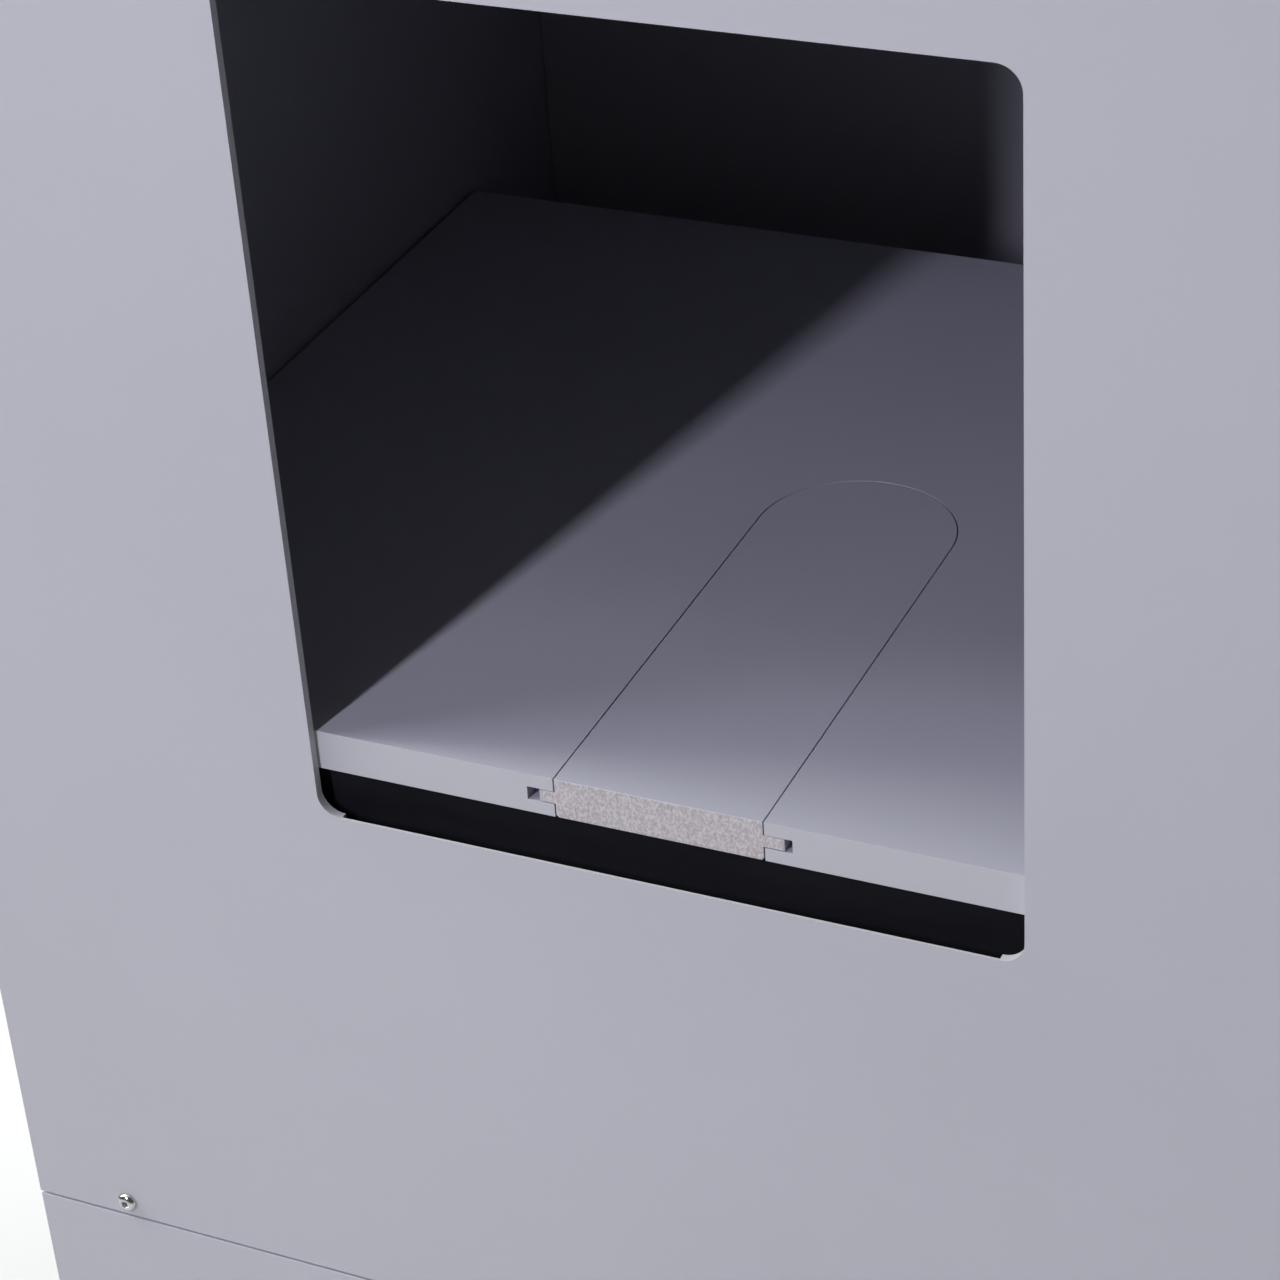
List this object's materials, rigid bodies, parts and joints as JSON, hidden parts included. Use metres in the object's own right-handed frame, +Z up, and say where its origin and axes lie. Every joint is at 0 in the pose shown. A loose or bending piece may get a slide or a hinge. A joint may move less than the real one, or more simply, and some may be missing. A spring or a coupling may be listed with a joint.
{
  "type": "atm machine",
  "caption": "Free-standing cash machine with a deep lit bay, a board deck with a sliding tongue over the note well, rear safe and service door.",
  "frame": {"origin": "centre of the footprint on the floor, over the whole depth from key tops to safe handle", "axes": "+Z up, -Y towards the customer, +X to the customer's right"},
  "size_m": [0.66, 0.8, 1.5],
  "materials": {
    "painted_panel": "pale blue-grey powder coat, fine orange peel, satin",
    "painted_board": "18 mm board in the same pale grey paint; the tongue's sawn front edge is bare and finely speckled",
    "inner_paint": "matt grey paint",
    "safe_paint": "hammered dark grey paint",
    "black_steel": "matt black",
    "black_plastic": "fine-grained black moulding",
    "galvanised_steel": "zinc plated sheet",
    "module_case": "plain folded sheet cases",
    "bright_steel": "bright plated",
    "key_metal": "satin stainless",
    "rubber": "matt black",
    "display_glass": "dark, glossy",
    "cassette_plastic": "dark grey moulding",
    "paper": "matt white thermal paper"
  },
  "bodies": {
    "cabinet": {"upper_fascia": "painted_panel", "lower_fascia": "painted_panel", "left_side_panel": "painted_panel", "right_side_panel": "painted_panel", "top_cover": "painted_panel", "deck": "painted_board", "left_frame_side": "inner_paint", "right_frame_side": "inner_paint", "bay_back_wall": "inner_paint", "bay_ceiling": "inner_paint", "safe_body": "safe_paint", "plinth": "black_steel", "slot_baffle": "black_steel", "power_inlet": "black_plastic", "note_duct": "black_plastic", "display_bezel": "black_plastic", "card_reader_bezel": "black_plastic", "receipt_bezel": "black_plastic", "seam_rail": "galvanised_steel", "left_deck_rail": "galvanised_steel", "right_deck_rail": "galvanised_steel", "note_well": "galvanised_steel", "tongue_motor": "galvanised_steel", "note_dispenser": "module_case", "display_panel": "module_case", "card_reader": "module_case", "receipt_printer": "module_case", "computer": "module_case", "fascia_screw_left": "bright_steel", "fascia_screw_right": "bright_steel", "keypad_frame": "key_metal", "levelling_foot_front_left": "rubber", "levelling_foot_rear_left": "rubber", "levelling_foot_front_right": "rubber", "levelling_foot_rear_right": "rubber", "display_glass": "display_glass", "note_cassette_1": "cassette_plastic", "note_cassette_2": "cassette_plastic", "note_cassette_3": "cassette_plastic"},
    "tongue": {"tongue": "painted_board"},
    "drive_roller": {"drive_roller": "rubber"},
    "safe_door": {"safe_door": "safe_paint"},
    "safe_handle": {"safe_handle": "bright_steel"},
    "combination_dial": {"combination_dial": "black_plastic"},
    "locking_bolts": {"locking_bolts": "bright_steel"},
    "rear_door": {"rear_door": "painted_panel"},
    "rear_door_lock": {"rear_door_lock": "bright_steel"},
    "paper_roll": {"paper_roll": "paper"},
    "key_1": {"key_1": "key_metal"},
    "key_2": {"key_2": "key_metal"},
    "key_3": {"key_3": "key_metal"},
    "key_4": {"key_4": "key_metal"},
    "key_5": {"key_5": "key_metal"},
    "key_6": {"key_6": "key_metal"},
    "key_7": {"key_7": "key_metal"},
    "key_8": {"key_8": "key_metal"},
    "key_9": {"key_9": "key_metal"},
    "key_cancel": {"key_cancel": "key_metal"},
    "key_0": {"key_0": "key_metal"},
    "key_enter": {"key_enter": "key_metal"}
  },
  "joints": [
    {"name": "tongue_slide", "type": "slide", "parent": "cabinet", "child": "tongue", "axis": [0, -1, 0], "range_m": [0, 0.16]},
    {"name": "drive_roller_spin", "type": "hinge", "parent": "cabinet", "child": "drive_roller", "pos_m": [0, -0.362, 0.8077], "axis": [1, 0, 0], "range_deg": [-5, 770]},
    {"name": "safe_door_hinge", "type": "hinge", "parent": "cabinet", "child": "safe_door", "pos_m": [0.303, 0.37, 0.3], "axis": [0, 0, -1], "range_deg": [0, 110]},
    {"name": "safe_handle_turn", "type": "hinge", "parent": "safe_door", "child": "safe_handle", "pos_m": [-0.18, 0.368, 0.29], "axis": [0, 1, 0], "range_deg": [0, 90]},
    {"name": "locking_bolt_slide", "type": "slide", "parent": "safe_door", "child": "locking_bolts", "axis": [-1, 0, 0], "range_m": [-0.0002, 0.0102]},
    {"name": "combination_dial_spin", "type": "hinge", "parent": "safe_door", "child": "combination_dial", "pos_m": [-0.06, 0.368, 0.29], "axis": [0, 1, 0], "continuous": true},
    {"name": "rear_door_hinge", "type": "hinge", "parent": "cabinet", "child": "rear_door", "pos_m": [0.308, 0.37, 1], "axis": [0, 0, -1], "range_deg": [0, 120]},
    {"name": "rear_door_lock_turn", "type": "hinge", "parent": "rear_door", "child": "rear_door_lock", "pos_m": [-0.276, 0.368, 1.02], "axis": [0, -1, 0], "range_deg": [0, 90]},
    {"name": "paper_roll_spin", "type": "hinge", "parent": "cabinet", "child": "paper_roll", "pos_m": [0.235, -0.177, 1.31], "axis": [1, 0, 0], "continuous": true},
    {"name": "key_1_press", "type": "slide", "parent": "cabinet", "child": "key_1", "axis": [0, 1, 0], "range_m": [0, 0.0018], "stiffness_N_per_m": 400},
    {"name": "key_2_press", "type": "slide", "parent": "cabinet", "child": "key_2", "axis": [0, 1, 0], "range_m": [0, 0.0018], "stiffness_N_per_m": 400},
    {"name": "key_3_press", "type": "slide", "parent": "cabinet", "child": "key_3", "axis": [0, 1, 0], "range_m": [0, 0.0018], "stiffness_N_per_m": 400},
    {"name": "key_4_press", "type": "slide", "parent": "cabinet", "child": "key_4", "axis": [0, 1, 0], "range_m": [0, 0.0018], "stiffness_N_per_m": 400},
    {"name": "key_5_press", "type": "slide", "parent": "cabinet", "child": "key_5", "axis": [0, 1, 0], "range_m": [0, 0.0018], "stiffness_N_per_m": 400},
    {"name": "key_6_press", "type": "slide", "parent": "cabinet", "child": "key_6", "axis": [0, 1, 0], "range_m": [0, 0.0018], "stiffness_N_per_m": 400},
    {"name": "key_7_press", "type": "slide", "parent": "cabinet", "child": "key_7", "axis": [0, 1, 0], "range_m": [0, 0.0018], "stiffness_N_per_m": 400},
    {"name": "key_8_press", "type": "slide", "parent": "cabinet", "child": "key_8", "axis": [0, 1, 0], "range_m": [0, 0.0018], "stiffness_N_per_m": 400},
    {"name": "key_9_press", "type": "slide", "parent": "cabinet", "child": "key_9", "axis": [0, 1, 0], "range_m": [0, 0.0018], "stiffness_N_per_m": 400},
    {"name": "key_cancel_press", "type": "slide", "parent": "cabinet", "child": "key_cancel", "axis": [0, 1, 0], "range_m": [0, 0.0018], "stiffness_N_per_m": 400},
    {"name": "key_0_press", "type": "slide", "parent": "cabinet", "child": "key_0", "axis": [0, 1, 0], "range_m": [0, 0.0018], "stiffness_N_per_m": 400},
    {"name": "key_enter_press", "type": "slide", "parent": "cabinet", "child": "key_enter", "axis": [0, 1, 0], "range_m": [0, 0.0018], "stiffness_N_per_m": 400}
  ],
  "couplings": [
    {"joint": "drive_roller_spin", "follows": "tongue_slide", "rad_per_m": 83.333},
    {"joint": "locking_bolt_slide", "follows": "safe_handle_turn", "m_per_rad": 0.006366}
  ]
}
